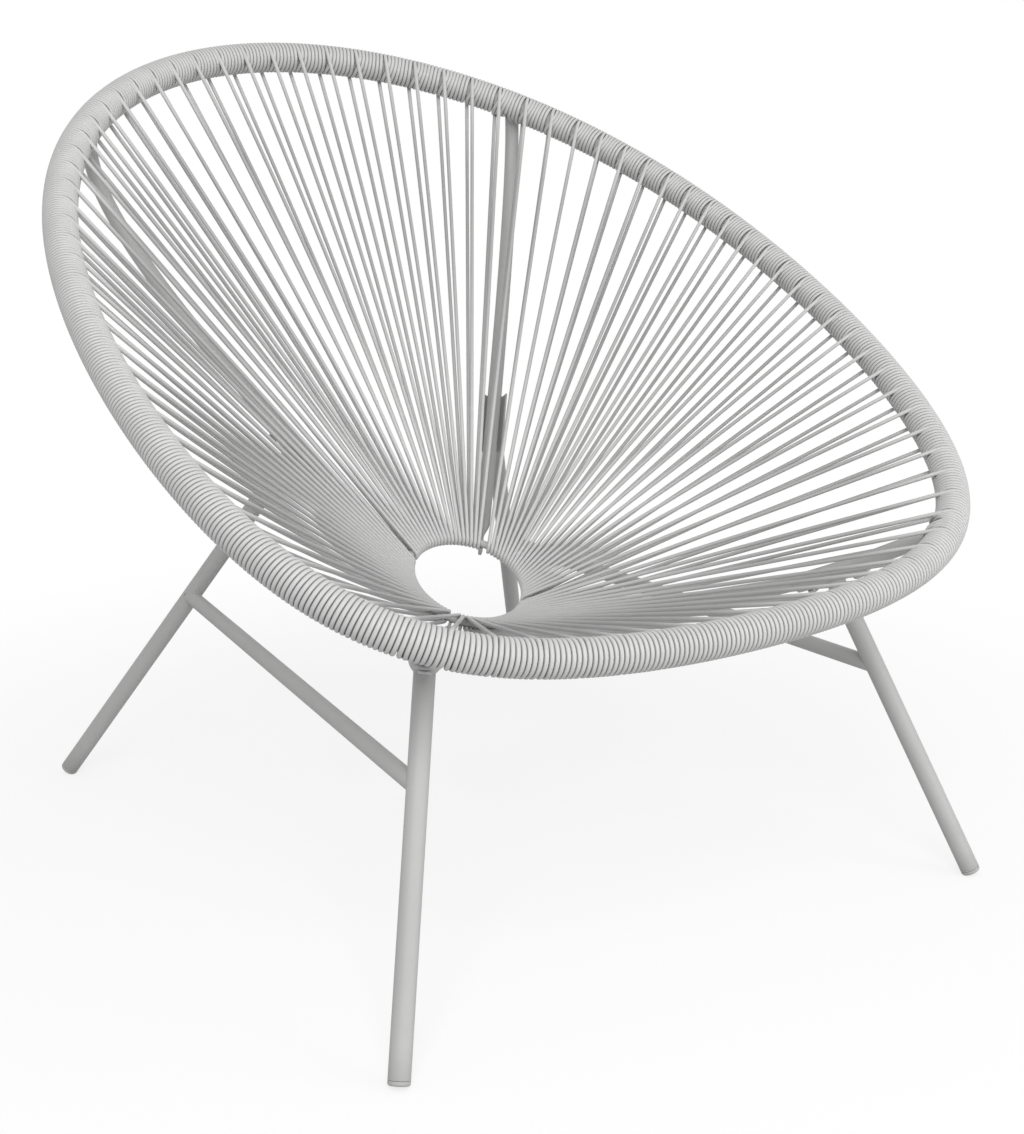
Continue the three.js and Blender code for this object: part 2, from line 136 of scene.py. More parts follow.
print("a smooth step a quarter of the way up:", smooth(0.0, 1.0, 0.25))

# %% [markdown]
# ## From rings of points to a mesh
#
# Almost everything here is a skin over rings of points: a round tube, a half pipe, a cap.
# Building the faces as one array of indices keeps this quick, also for the cord with its
# hundreds of turns. Each mesh holds its own place, so its object stays at the origin.

# %% Pieces


def new_piece(name, points, faces, corners, finish, slot, replaced, uv=None, freedom=None):
    """A mesh object from its points, the corners per face and the flat list of corner indices.

    It rides on the one body there is and hides the packed nodes that it replaces.
    Its slot is not used.
    """
    mesh = bpy.data.meshes.new(name)
    mesh.vertices.add(len(points))
    mesh.vertices.foreach_set("co", (np.asarray(points) * MM).astype(np.float32).ravel())
    mesh.loops.add(len(corners))
    mesh.loops.foreach_set("vertex_index", corners.astype(np.int32))
    mesh.polygons.add(len(faces))
    starts = np.concatenate([[0], np.cumsum(faces)[:-1]])
    mesh.polygons.foreach_set("loop_start", starts.astype(np.int32))
    mesh.update(calc_edges=True)
    mesh.validate()
    mesh.polygons.foreach_set("use_smooth", np.ones(len(mesh.polygons), dtype=bool))
    if uv is not None:
        layer = mesh.uv_layers.new(name="UVMap")
        layer.data.foreach_set("uv", uv.astype(np.float32).ravel())
    if freedom is not None:
        mark = mesh.attributes.new("freedom", "FLOAT", "POINT")
        mark.data.foreach_set("value", freedom.astype(np.float32))
    mesh.materials.append(finish)
    obj = bpy.data.objects.new(name, mesh)
    bpy.context.scene.collection.objects.link(obj)
    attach(obj, "root")
    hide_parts(*replaced)


# %% Skins


def skin(rings, closed=False, caps=True):
    """Faces over rings that run right-handed about the way they follow each other.

    Corner (i, j) joins (i, j+1), (i+1, j+1) and (i+1, j). Open skins get a flat end at each end.
    Returns the points, the corners per face and the flat list of corners.
    """
    count, sides, _ = rings.shape
    spans = count if closed else count - 1
    i = np.arange(spans)[:, None]
    j = np.arange(sides)[None, :]
    near, far = i * sides, ((i + 1) % count) * sides
    k = (j + 1) % sides
    quads = np.stack([near + j, near + k, far + k, far + j], axis=-1).reshape(-1)
    faces = np.full(spans * sides, 4)
    if caps and not closed:
        ends = np.concatenate([np.arange(sides)[::-1], (count - 1) * sides + np.arange(sides)])
        quads = np.concatenate([quads, ends])
        faces = np.concatenate([faces, [sides, sides]])
    return rings.reshape(-1, 3), faces, quads


def mirrored(rings):
    """The left-hand twin of right-hand rings, turned so that its faces still point outwards."""
    return rings[:, ::-1] * np.array([-1.0, 1.0, 1.0])


def circles(centres, first, second, first_radius, second_radius, sides):
    """Rings c + r1 cos(a) first + r2 sin(a) second, for all centres and all angles a at once."""
    angle = np.arange(sides) / sides * 2.0 * np.pi
    across = np.cos(angle)[None, :, None] * (first * first_radius)[:, None, :]
    along = np.sin(angle)[None, :, None] * (second * second_radius)[:, None, :]
    return centres[:, None, :] + across + along


print("faces of a skin over 3 rings of 8 points:", len(skin(np.zeros((3, 8, 3)))[1]))

# %% [markdown]
# ## Finishes
#
# Shader maths reads best as plain sums, so one small class wraps a shader socket and turns
# each operator into a Math node. Every other node comes from its one `node` method.

# %% Shader sums


class Signal:
    """A shader socket that can be used in sums. Each operator adds one Math node."""

    def __init__(self, socket):
        self.socket = socket

    def node(self, kind, settings=None, sockets=None, output=0):
        """Adds a node of a type. Its settings come first, then the values or signals of its sockets."""
        tree = self.socket.id_data
        made = tree.nodes.new(kind)
        for name, value in (settings or {}).items():
            setattr(made, name, value)
        for name, value in (sockets or {}).items():
            if isinstance(value, Signal):
                tree.links.new(value.socket, made.inputs[name])
            else:
                made.inputs[name].default_value = value
        return Signal(made.outputs[output])

    def maths(self, operation, *values):
        """One Math node on the values, in their order."""
        return self.node("ShaderNodeMath", {"operation": operation}, dict(enumerate(values)))

    def __add__(self, other):
        return self.maths("ADD", self, other)

    def __sub__(self, other):
        return self.maths("SUBTRACT", self, other)

    def __rsub__(self, other):
        return self.maths("SUBTRACT", other, self)

    def __mul__(self, other):
        return self.maths("MULTIPLY", self, other)

    __radd__ = __add__
    __rmul__ = __mul__

    def above(self, low, high):
        """0 below low and 1 above high, with a smooth step between."""
        sockets = {"Value": self, "From Min": low, "From Max": high}
        return self.node("ShaderNodeMapRange", {"interpolation_type": "SMOOTHSTEP"}, sockets)

    def sine(self):
        """The sine of an angle in radians."""
        return self.maths("SINE", self)


print("reflected operators:", [name for name in vars(Signal) if name.startswith("__r")])

# %% Noise, tints and bumps


def noise(place, scale, detail=2.0, roughness=0.5):
    """Noise between 0 and 1, with about as many features in a metre as its scale says."""
    return place.node("ShaderNodeTexNoise", {}, {
        "Vector": place, "Scale": scale, "Detail": detail, "Roughness": roughness})


def tinted(share, colour, other):
    """One colour where the share is 0, another where it is 1. Each is a signal or three numbers."""
    mixed = {0: share}
    for socket, shade in ((6, colour), (7, other)):
        mixed[socket] = shade if isinstance(shade, Signal) else (*shade, 1.0)
    return share.node("ShaderNodeMix", {"data_type": "RGBA", "clamp_factor": True}, mixed, output=2)


def bumped(height, strength, depth):
    """The normal over a relief whose height of 1 stands as many metres proud as its depth says."""
    return height.node("ShaderNodeBump", {}, {"Strength": strength, "Distance": depth, "Height": height})


def new_finish(name):
    """An empty material, its surface shader and its texture coordinates."""
    print("finish:", name)
    material = bpy.data.materials.new(name)
    material.use_nodes = True
    surface = material.node_tree.nodes["Principled BSDF"]
    coordinates = material.node_tree.nodes.new("ShaderNodeTexCoord")
    return material, surface, coordinates


def feed(surface, **signals):
    """Puts signals and values on the surface shader's sockets, named in words with underscores."""
    for name, signal in signals.items():
        target = surface.inputs[name.replace("_", " ").title().replace("Ior", "IOR")]
        if isinstance(signal, Signal):
            surface.id_data.links.new(signal.socket, target)
        else:
            target.default_value = signal


# %% [markdown]
# ### Powder coat
#
# The steel is sprayed with a light grey powder and baked. Up close it has a fine orange peel,
# an almost matte skin, and a little dust low on the legs. The peel is a bump about two
# hundredths of a millimetre high, so it shows in the highlights and never in the outline.

# %% Powder coat
coat_dark, coat_light = (0.46, 0.46, 0.455), (0.485, 0.485, 0.48)
floor_dust = (0.44, 0.435, 0.42)
dusty_from, dusty_to = 0.11, 0.015
peel_depth = 0.00002


def powder_coat():
    """Two greys mixed by slow noise, dust in patches near the floor, and fine noise as a relief."""
    material, surface, coordinates = new_finish("powder_coat")
    place = Signal(coordinates.outputs["Object"])
    height = place.node("ShaderNodeSeparateXYZ", {}, {"Vector": place}, output=2)
    cloudy = noise(place, 7.0, 3.0)
    peel = noise(place, 900.0, 2.0, 0.55)
    grain = noise(place, 4200.0, 1.0)
    patches = noise(place, 60.0, 6.0, 0.62).above(0.52, 0.7)
    dusty = patches * (1.0 - height.above(dusty_to, dusty_from))
    clean = tinted(cloudy.above(0.3, 0.7), coat_dark, coat_light)
    feed(surface, base_color=tinted(dusty * 0.35, clean, floor_dust),
         roughness=0.47 + cloudy * 0.1 + dusty * 0.15,
         normal=bumped(peel + grain * 0.2, 0.5, peel_depth),
         specular_ior_level=0.42)
    return material


steel_coat = powder_coat()

# %% [markdown]
# ### Cord
#
# The cord is extruded plastic, a shade lighter than the steel, with a satin skin. The die
# leaves faint lines that run along it, and its colour drifts a little from batch to batch.
# Both follow the cord itself, so this finish reads the cord's own UV map: u is metres along
# the cord and v runs once round it.
#
# The grooves between the wound turns, and the free strands, carry painted shade: their colour is
# darker than their shadow makes them. An attribute on the cord, called freedom, tells the finish
# where it is: 0 in a turn, 0.3 where a strand lies on the ring or the rod, and up to 1 along
# a free strand. The grooves are the two flanks of a wound turn, where the square of the sine
# of the angle round the cord is large.

# %% Cord plastic
cord_dark, cord_light = (0.555, 0.555, 0.55), (0.595, 0.595, 0.591)
# painted shade: the grey that the grooves and the free strands are darkened towards
painted_shade_grey = (0.16, 0.16, 0.158)
touching = 0.3
die_line_depth = 0.000012


def cord_plastic():
    """Two greys mixed by slow sines of the length, with painted shade in the grooves and on the free
    strands, and fine lines.
    """
    material, surface, coordinates = new_finish("cord_plastic")
    along = Signal(coordinates.outputs["UV"])
    place = Signal(coordinates.outputs["Object"])
    length = along.node("ShaderNodeSeparateXYZ", {}, {"Vector": along}, output=0)
    round_it = along.node("ShaderNodeSeparateXYZ", {}, {"Vector": along}, output=1)
    turn = round_it * (2.0 * math.pi)
    die_lines = (turn * 7.0 + length * 9.0).sine() * 0.5 + (turn * 17.0).sine() * 0.3
    drift = (length * 5.3).sine() * 0.25 + (length * 1.7 + 0.6).sine() * 0.25 + 0.5
    handled = noise(place, 45.0, 4.0, 0.6)
    plain = tinted(drift * 0.6 + handled * 0.4, cord_dark, cord_light)
    freedom = along.node("ShaderNodeAttribute", {"attribute_name": "freedom"}, output=2)
    flank = turn.sine()
    # painted shade on the flanks of each wound turn, where the turns meet
    groove_shade = (flank * flank).above(0.3, 0.95) * (1.0 - freedom.above(0.0, touching))
    # painted shade along the free strands, strongest at their free middle
    strand = freedom.above(touching, 1.0)
    feed(surface, base_color=tinted(groove_shade * 0.6 + strand * 0.42, plain, painted_shade_grey),
         roughness=0.36 + handled * 0.14,
         normal=bumped(die_lines * 0.35 + noise(place, 1600.0), 0.4, die_line_depth),
         specular_ior_level=0.5)
    return material


soft_cord = cord_plastic()

# %% [markdown]
# ### Foot caps and fasteners
#
# The caps are moulded plastic with a spark-eroded grain. The bolts are zinc plated, with the
# faint tumbled mottle that plating leaves.

# %% Cap plastic
cap_grey, cap_worn = (0.45, 0.45, 0.445), (0.40, 0.397, 0.388)
spark_depth = 0.00008


def cap_plastic():
    """One grey, another where coarse noise is high, and fine noise as the grain of the mould."""
    material, surface, coordinates = new_finish("cap_plastic")
    place = Signal(coordinates.outputs["Object"])
    grain = noise(place, 2600.0, 3.0, 0.6)
    worn = noise(place, 110.0, 5.0, 0.65).above(0.45, 0.7)
    feed(surface, base_color=tinted(worn, cap_grey, cap_worn),
         roughness=0.6 + worn * 0.12,
         normal=bumped(grain, 0.5, spark_depth))
    return material


moulded_cap = cap_plastic()

# %% Zinc
zinc_dull, zinc_bright = (0.38, 0.385, 0.39), (0.48, 0.48, 0.475)
mottle_depth = 0.00003


def zinc_plate():
    """A metal whose grey, roughness and relief all follow one mottled noise."""
    material, surface, coordinates = new_finish("zinc_plate")
    place = Signal(coordinates.outputs["Object"])
    mottle = noise(place, 520.0, 4.0, 0.6)
    feed(surface, base_color=tinted(mottle, zinc_dull, zinc_bright),
         roughness=0.42 + mottle * 0.18, metallic=1.0,
         normal=bumped(mottle, 0.3, mottle_depth))
    return material


plated = zinc_plate()

# %% [markdown]
# ## The two rings
#
# The large ring is an egg seen square on, leaning back, with its sides drawn up the back. The
# small ring is a plain circle of rod below it. The same formulas that shaped the packed
# model are written here again, in millimetres, because the cord has to follow them exactly.

# %% Large ring
lean = math.radians(29.7)
across_it = np.array([1.0, 0.0, 0.0])
up_the_back = np.array([0.0, math.cos(lean), math.sin(lean)])
off_the_ring = np.array([0.0, -math.sin(lean), math.cos(lean)])
ring_half_width, ring_half_length = 440.0, 475.0
crown, warp = 86.0, 4.0
egg_share, corner_share = 0.113, 0.0736
ring_height = 524.0
ring_middle = np.array([0.0, -crown * up_the_back[1] + warp * off_the_ring[1], ring_height])
ring_tube = 12.5


def ring_point(t):
    """An ellipse whose width changes with its height, with its sides drawn up the back.

    Across: half width cos t (1 + egg sin t - corner cos 2t). Up the back: half length sin t -
    crown cos 2t. Off the ring's plane: warp cos 2t.
    """
    t = np.asarray(t)[..., None]
    fullness = 1.0 + egg_share * np.sin(t) - corner_share * np.cos(2.0 * t)
    across = ring_half_width * np.cos(t) * fullness
    upward = ring_half_length * np.sin(t) - crown * np.cos(2.0 * t)
    proud = warp * np.cos(2.0 * t)
    return ring_middle + across * across_it + upward * up_the_back + proud * off_the_ring


table_t = np.linspace(-0.5 * np.pi, 1.5 * np.pi, 20001)
table_length = running_length(ring_point(table_t))
ring_length = table_length[-1]


def ring_at(length):
    """Point and tangent of the ring at lengths along it, measured from the middle of the front."""
    t = np.interp(np.mod(length, ring_length), table_length, table_t)
    return ring_point(t), tangent_at(ring_point, t)


print("large ring:", round(float(ring_length)), "mm round")

# %% Small ring
seat_depth, seat_forward = 272.0, 41.0
seat_middle = ring_middle - seat_depth * off_the_ring - seat_forward * up_the_back
seat_radius, seat_rod = 66.0, 4.0
rod_steps, rod_sides = 160, 20


def seat_point(angle):
    """Middle + radius (cos a across + sin a up the back)."""
    angle = np.asarray(angle)[..., None]
    return seat_middle + seat_radius * (np.cos(angle) * across_it + np.sin(angle) * up_the_back)


def seat_tangent(angle):
    """The way round the small ring at an angle: cos a up the back - sin a across."""
    angle = np.asarray(angle)[..., None]
    return np.cos(angle) * up_the_back - np.sin(angle) * across_it


round_angles = np.arange(rod_steps) / rod_steps * 2.0 * np.pi
rod_outward = unit(seat_point(round_angles) - seat_middle)
rod_downward = np.cross(seat_tangent(round_angles), rod_outward)
rod_rings = circles(seat_point(round_angles), rod_outward, rod_downward, seat_rod, seat_rod, rod_sides)
new_piece("small_ring", *skin(rod_rings, closed=True), steel_coat, "powder_coat", ["seat_ring"])
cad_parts["outer_ring"].data.materials[0] = steel_coat
print("small ring:", round(2.0 * seat_radius + 2.0 * seat_rod), "mm across")

# %% [markdown]
# ## Where the cord goes
#
# The cord leaves the large ring over its top, runs to the small ring, rounds it and comes back
# under the large ring: one loop in each of 84 bays. Between loops it is wound round the tube.
# The loops stand a place and a half askew, which is what makes the fan spiral slightly,
# and on the small ring each quarter of them keeps clear of the ribs.

# %% Loop places
loops = 84
quarter = loops // 4
rib_opening = 7.5
front_share, ends_share = 0.0043, 0.0073
slot_pitch = (0.5 * np.pi - rib_opening / seat_radius) / quarter


def ring_share(count):
    """Share of the way round at a count of bays: s + f sin(2 pi s) + e sin(4 pi s), s = count / loops.

    So the bays are wider at the front, by f, and at both ends, by e.
    """
    turn = np.asarray(count) / loops
    return turn + front_share * np.sin(2.0 * np.pi * turn) + ends_share * np.sin(4.0 * np.pi * turn)


def slot_angle(slot):
    """Angle of a numbered place on the small ring: an equal fan between each two ribs."""
    part = np.floor((slot + (quarter - 1) / 2.0) / quarter)
    return (part - 1.0) * 0.5 * np.pi + (slot - part * quarter) * slot_pitch


loop = np.arange(loops + 1)
loop_length = ring_share(loop + 0.5) * ring_length
loop_angle = slot_angle(loop - 1.0)
bay_lengths = np.diff(loop_length)
print("bays:", round(float(bay_lengths.min()), 1), "to", round(float(bay_lengths.max()), 1), "mm")

# %% [markdown]
# ## Ribs
#
# Each rib is a round tube bent in one sweep from the large ring to under the small one, and
# its inner end is pressed flat to be welded to the rod. A cubic curve gives the sweep. The
# section changes from a circle to a thin upright tongue over the last few centimetres.

# %% Rib curves
rib_tube = 8.0
rib_end_drop = 15.0
ribs = {
    "back": {"count": 34, "angle": math.radians(45.0),
             "reach": (0.01, 0.563), "sag": (99.5, 38.5), "lean": (36.8, 16.3)},
    "front": {"count": 8, "angle": math.radians(-45.0),
              "reach": (0.1, 0.4), "sag": (-5.0, 64.5), "lean": (1.0, 0.0)},
}


class RibCurve:
    """A cubic from the large ring to under the small one, read by its length.

    Its two inner corners lie at the reach along the straight line, lowered by the sag and moved
    aside by the lean.
    """

    def __init__(self, count, angle, reach, sag, lean):
        self.angle = angle
        start, _ = ring_at(ring_share(count) * ring_length)
        end = seat_point(angle) - rib_end_drop * off_the_ring
        axis = unit(end - start)
        up = square_to(off_the_ring, axis)
        side = np.cross(axis, up)
        bends = [mix(start, end, r) - up * s - side * l for r, s, l in zip(reach, sag, lean)]
        self.corners = np.array([start, *bends, end])
        self.t = np.linspace(0.0, 1.0, 2001)
        self.table = running_length(self.point(self.t))
        self.length = self.table[-1]

    def point(self, t):
        """(1-t)^3 a + 3 (1-t)^2 t b + 3 (1-t) t^2 c + t^3 d."""
        t = np.asarray(t)[..., None]
        a, b, c, d = self.corners
        return (1 - t) ** 3 * a + 3 * (1 - t) ** 2 * t * b + 3 * (1 - t) * t ** 2 * c + t ** 3 * d

    def at(self, length):
        """Point and tangent at lengths along the rib."""
        t = np.interp(length, self.table, self.t)
        return self.point(t), tangent_at(self.point, t)


curves = {end: RibCurve(**rib) for end, rib in ribs.items()}
for end, curve in curves.items():
    print(end, "rib:", round(float(curve.length)), "mm long")

# %% Pressed tubes
tongue_thickness, tongue_height = 3.2, 22.0
tongue_length, tongue_shoulder, tongue_corner = 18.0, 24.0, 24.0
rib_starts_at = 11.0
round_steps, pressed_steps, rib_sides = 70, 30, 32
land_end, shear_start = 5.0, 8.0
shear_end, free_again, ceiling_end = 40.0, 46.0, 60.0
land_gap, shear_drop, ceiling_rise = 0.2, 8.6, 30.0


def sheared(rings, curve):
    """Takes the tongue's upper edge off where loops pass over it, all but a land beside the rod.

    Each point higher than a ceiling comes down to it. The ceiling is just below the rod at the
    land, lower under the loops, and rises out of the way further out.
    """
    seat_end = seat_point(curve.angle)
    outward = unit(curve.corners[0] - seat_end)
    lift = np.cross(outward, seat_tangent(curve.angle))
    height = dots(rings - seat_end, lift)
    reach = dots(rings - seat_end, outward)
    shear = smooth(land_end, shear_start, reach) * (1.0 - smooth(shear_end, free_again, reach))
    ceiling = mix(-seat_rod - land_gap, -shear_drop, shear)
    ceiling = ceiling + ceiling_rise * smooth(shear_end, ceiling_end, reach)
    return rings + np.minimum(ceiling - height, 0.0) * lift


def rib_rings(curve):
    """Circles pressed flat towards the end.

    Pressed, a point's sideways reach is h tanh(r cos a / h) / tanh(r / h), where h is half the
    thickness, and its height is half the tongue's height times sin a. Both grow out of the round
    section's r cos a and r sin a. Below, the tongue's last corner is a quarter ellipse,
    sqrt(1 - (1 - distance / corner)^2).
    """
    pressed_from = curve.length - tongue_length - tongue_shoulder
    length = np.concatenate([np.linspace(rib_starts_at, pressed_from, round_steps)[:-1],
                             np.linspace(pressed_from, curve.length, pressed_steps)])
    point, tangent = curve.at(length)
    roundness = smooth(tongue_length, tongue_length + tongue_shoulder, curve.length - length)[:, None]
    half_thick = mix(tongue_thickness / 2.0, rib_tube, roundness)[..., None]
    half_high = mix(tongue_height / 2.0, rib_tube, roundness)[..., None]
    flatways = square_to(seat_tangent(curve.angle), tangent)[:, None, :]
    upright = np.cross(tangent[:, None, :], flatways)
    angle = (np.arange(rib_sides) / rib_sides * 2.0 * np.pi)[None, :, None]
    flat = half_thick * np.tanh(rib_tube * np.cos(angle) / half_thick) / np.tanh(rib_tube / half_thick)
    sideways = mix(flat, rib_tube * np.cos(angle), roundness[..., None] ** 4)
    from_end = (curve.length - length)[:, None, None]
    corner = np.sqrt(1.0 - np.clip(1.0 - from_end / tongue_corner, 0.0, 0.99) ** 2)
    below = np.sin(angle) * dots(upright, off_the_ring) < 0.0
    high = half_high * np.where(below, corner, 1.0) * np.sin(angle)
    return sheared(point[:, None, :] + sideways * flatways + high * upright, curve)


def both_hands(name, replaced, rings, close=skin, finish=steel_coat, slot="powder_coat"):
    """A right-hand piece and its left-hand twin, each in place of the packed node of its hand."""
    for hand, shape in (("right", rings), ("left", mirrored(rings))):
        new_piece(name.format(hand), *close(shape), finish, slot, [replaced.format(hand)])


for end, curve in curves.items():
    both_hands(end + "_rib_{}_bent", end + "_rib_{}", rib_rings(curve))
print("pressed ends:", tongue_thickness, "mm thick,", tongue_height, "mm high")

# %% [markdown]
# ## The cord
#
# Between two loops the cord makes seven and a half turns round the tube, and the loop itself
# is the missing half turn, pulled out to the small ring. So one formula gives the whole path:
# a helix whose pitch is an eighth of a bay, a straight run in, half an ellipse round the
# rod, and a straight run back.
#
# A strand meets the tube askew. Its last sixth of a turn swings over to meet it, and on the
# side the strand leans to, the turns beside it are pushed the same way and lie parallel. On
# its other side a small dark wedge opens, which the picture shows beside each strand.

# %% Strands that meet the ring askew
cord_radius, cord_gap = 2.0, 0.05
wound_at = ring_tube + cord_radius + cord_gap
turns_per_bay = 8.0
steps_per_turn = 24
wound_turns = turns_per_bay - 0.5
swing_turns = 1.0 / 6.0
swing_length = swing_turns * 2.0 * np.pi * wound_at

loop_ring, loop_tangent = ring_at(loop_length)
loop_seat = seat_point(loop_angle)
inward = unit(loop_seat - loop_ring)
skew = dots(inward, loop_tangent)[:, 0]
slope = skew / np.sqrt(1.0 - skew ** 2)
swing = slope * swing_length / 2.0
print("strands swing the cord up to", round(float(np.abs(swing).max()), 1), "mm aside")

# %% Where the turns give way
pushed_turns, pushed_arc = 4.0, math.radians(72.0)
over, under = 0.47 * np.pi, 1.53 * np.pi


def hump(phi, crest, arc):
    """cos^2 of the angle off a crest: 1 at the crest and 0 from an arc away."""
    off = np.abs((phi - crest + np.pi) % (2.0 * np.pi) - np.pi)
    return np.cos(0.5 * np.pi * np.clip(off / arc, 0.0, 1.0)) ** 2


def swung(apart):
    """The strand's own last bit of turn: x^2, so that it leaves the tube in the strand's direction."""
    return np.clip(1.0 - np.abs(apart) / swing_turns, 0.0, 1.0) ** 2 * (np.abs(apart) < 0.5)


def pushed(apart, phi, crest):
    """Turns beside a strand: a hump at the crest that fades evenly over the next few turns."""
    fading = np.clip(1.0 - (apart - 1.0) / pushed_turns, 0.0, 1.0)
    return hump(phi, crest, pushed_arc) * fading * (apart > 0.5)


print("share of a push left after two turns:", pushed(2.0, over, over))

# %% Turns round the rib roots
rib_clearance, parted_arc = 0.8, math.radians(85.0)
crossed_lift = 3.3
rib_counts = [ribs["front"]["count"], ribs["back"]["count"]]
rib_bays = rib_counts + [loops - count for count in reversed(rib_counts)]
print("ribs come in at bays", rib_bays)


def round_the_ribs(length, phi, turn):
    """Parts the turns round each rib's root, and lifts every other turn over its neighbour there.

    A turn d along the ring from the rib goes to d (room - push) / room +- push. The push is the
    distance kept off the rib's middle times the cosine of the angle off the rib.
    """
    keep_off = rib_tube + cord_radius + rib_clearance
    lift = 0.0 * length
    for number, count in enumerate(rib_bays):
        bay = count - 1
        end = "front" if number in (0, 3) else "back"
        flip = np.array([-1.0, 1.0, 1.0]) if number > 1 else np.ones(3)
        root = ring_share(count) * ring_length
        middle, tangent = ring_at(root)
        _, way = curves[end].at(0.0)
        aim = square_to(seat_point(0.5 * (loop_angle[bay] + loop_angle[bay + 1])) - middle, tangent)
        above = np.cross(tangent, aim)
        rib_phi = math.atan2(float(np.dot(way * flip, above)), float(np.dot(way * flip, aim)))
        push = keep_off * np.sqrt(hump(phi[bay], rib_phi, parted_arc))
        passes = (1.5 * np.pi - (rib_phi - np.pi)) / (2.0 * np.pi)
        crossing = passes + np.round(wound_turns / 2.0 - passes)
        side = np.where(turn[0] < crossing, -1.0, 1.0)
        room = 0.5 * (loop_length[bay + 1] - loop_length[bay])
        length[bay] = root + (length[bay] - root) * (room - push) / room + side * push
        layer = np.where(np.floor(turn[0] - crossing) % 2 == 0, 0.0, 1.0)
        lift[bay] = layer * crossed_lift * smooth(0.0, keep_off, push)
    return length, lift


# %% All the turns
lying_width, spread_width = 1.12, 1.2


def bay_turns():
    """Cord middles, outward directions and half widths for the turns of all the bays at once.

    Angle phi falls from 270 degrees (below) through 180 (outside) to 90 (above), seven and a
    half turns on. The length along the ring grows evenly between two loops, less the swing
    that each of them adds back where its strand leaves. On the side that faces the small ring
    the turns spread, each by its place from the middle one, so that they fill the bay.
    """
    steps = int(wound_turns * steps_per_turn)
    turn = np.arange(steps + 1)[None, :] / steps_per_turn
    pitch = (np.diff(loop_length) / turns_per_bay)[:, None]
    here, there = swing[:-1, None], swing[1:, None]
    start = loop_length[:-1, None] - here + pitch / 4.0
    finish = loop_length[1:, None] - there - pitch / 4.0
    phi = 1.5 * np.pi - 2.0 * np.pi * turn + 0.0 * pitch
    length = mix(start, finish, turn / wound_turns)
    length = length + here * swung(turn) + there * swung(wound_turns - turn)
    length = length + np.maximum(here, 0.0) * (pushed(turn, phi, under) + pushed(turn + 0.5, phi, over))
    length = length + np.minimum(there, 0.0) * (
        pushed(wound_turns - turn, phi, over) + pushed(turns_per_bay - turn, phi, under))
    inner = hump(phi, 0.0, 0.5 * np.pi)
    length = length + pitch * (turn - wound_turns / 2.0) / (wound_turns - 0.5) * inner
    length, lift = round_the_ribs(length, phi, turn)
    share = (length - loop_length[:-1, None]) / np.diff(loop_length)[:, None]
    aim = seat_point(mix(loop_angle[:-1, None], loop_angle[1:, None], share))
    middle, tangent = ring_at(length)
    towards = square_to(aim - middle, tangent)
    above = np.cross(tangent, towards)
    radial = np.cos(phi)[..., None] * towards + np.sin(phi)[..., None] * above
    room = pitch / 2.0 * (1.0 + inner / (wound_turns - 0.5))
    width = np.minimum(cord_radius * mix(lying_width, spread_width, inner), room)
    return middle + radial * (wound_at + lift)[..., None], radial, width


turn_middle, turn_outward, turn_width = bay_turns()
print("turns:", int(loops * wound_turns))

# %% [markdown]
# The straight runs and the bends are added between the turns of one bay and the next, and
# the whole cord becomes one list of points. It is cut into four pieces in the bays where the
# ribs come in, because a piece is easier to handle below two hundred thousand triangles.

# %% Loops
strand_steps, bend_steps = 5, 12
strand_share = np.arange(1, strand_steps) / strand_steps


def loop_paths():
    """Run in, half ellipse round the rod, run back, for every loop.

    Round the rod: seat + r cos(b) lift + r s sin(b) inward, where s stretches the bend of a loop
    that comes in askew. The runs are straight, and their outward side turns from end to end.
    """
    into = slice(1, loops + 1)
    inwards, seats = inward[into], loop_seat[into]
    crossed = np.cross(seat_tangent(loop_angle[into]), inwards)
    lift, stretch = unit(crossed), 1.0 / np.linalg.norm(crossed, axis=1)
    bend = np.linspace(0.0, np.pi, bend_steps)[None, :, None]
    around = seat_rod + cord_radius
    out = np.cos(bend) * lift[:, None, :] + np.sin(bend) * (inwards * stretch[:, None])[:, None, :]
    bends = seats[:, None, :] + around * out
    share = strand_share[None, :, None]
    left_at, left_out = turn_middle[:, -1:], turn_outward[:, -1:]
    back_at = np.roll(turn_middle, -1, axis=0)[:, :1]
    back_out = np.roll(turn_outward, -1, axis=0)[:, :1]
    run_in, run_back = mix(left_at, bends[:, :1], share), mix(bends[:, -1:], back_at, share)
    middle = np.concatenate([run_in, bends, run_back], axis=1)
    turns_in, turns_back = mix(left_out, out[:, :1], share), mix(out[:, -1:], back_out, share)
    outward = np.concatenate([turns_in, unit(out), turns_back], axis=1)
    return middle, unit(outward)


loop_middle, loop_outward = loop_paths()
loop_width = np.full(loop_middle.shape[:2], cord_radius)
cord_middle = np.concatenate([turn_middle, loop_middle], axis=1)
bay_points = cord_middle.shape[1]
cord_middle = cord_middle.reshape(-1, 3)
cord_outward = np.concatenate([turn_outward, loop_outward], axis=1).reshape(-1, 3)
cord_width = np.concatenate([turn_width, loop_width], axis=1).reshape(-1)
cord_lengths = np.linalg.norm(np.roll(cord_middle, -1, axis=0) - cord_middle, axis=1)
print("cord:", round(float(cord_lengths.sum()) / 1000.0, 1), "m in one length,", loops, "loops")

# %% How free the cord is
# The freedom attribute places the painted shade on the grooves of the turns and along the free strands.
turn_places = np.arange(turn_width.shape[1]) / steps_per_turn
from_strand = np.minimum(turn_places, wound_turns - turn_places)
turn_freedom = touching - touching * smooth(0.0, swing_turns, from_strand)
run_freedom = 1.0 - (1.0 - touching) * smooth(1.0 / strand_steps, 1.0, strand_share)
loop_freedom = np.concatenate([run_freedom, np.full(bend_steps, touching), run_freedom[::-1]])
cord_freedom = np.tile(np.concatenate([turn_freedom, loop_freedom]), loops)
print("freedom runs from", cord_freedom.min(), "to", cord_freedom.max())

# %% [markdown]
# Each piece is a round skin along its stretch of the path. One side of the section always
# faces away from the steel, so the skin never twists, and the UV map follows the cord.

# %% Cord skins
cord_sides = 10


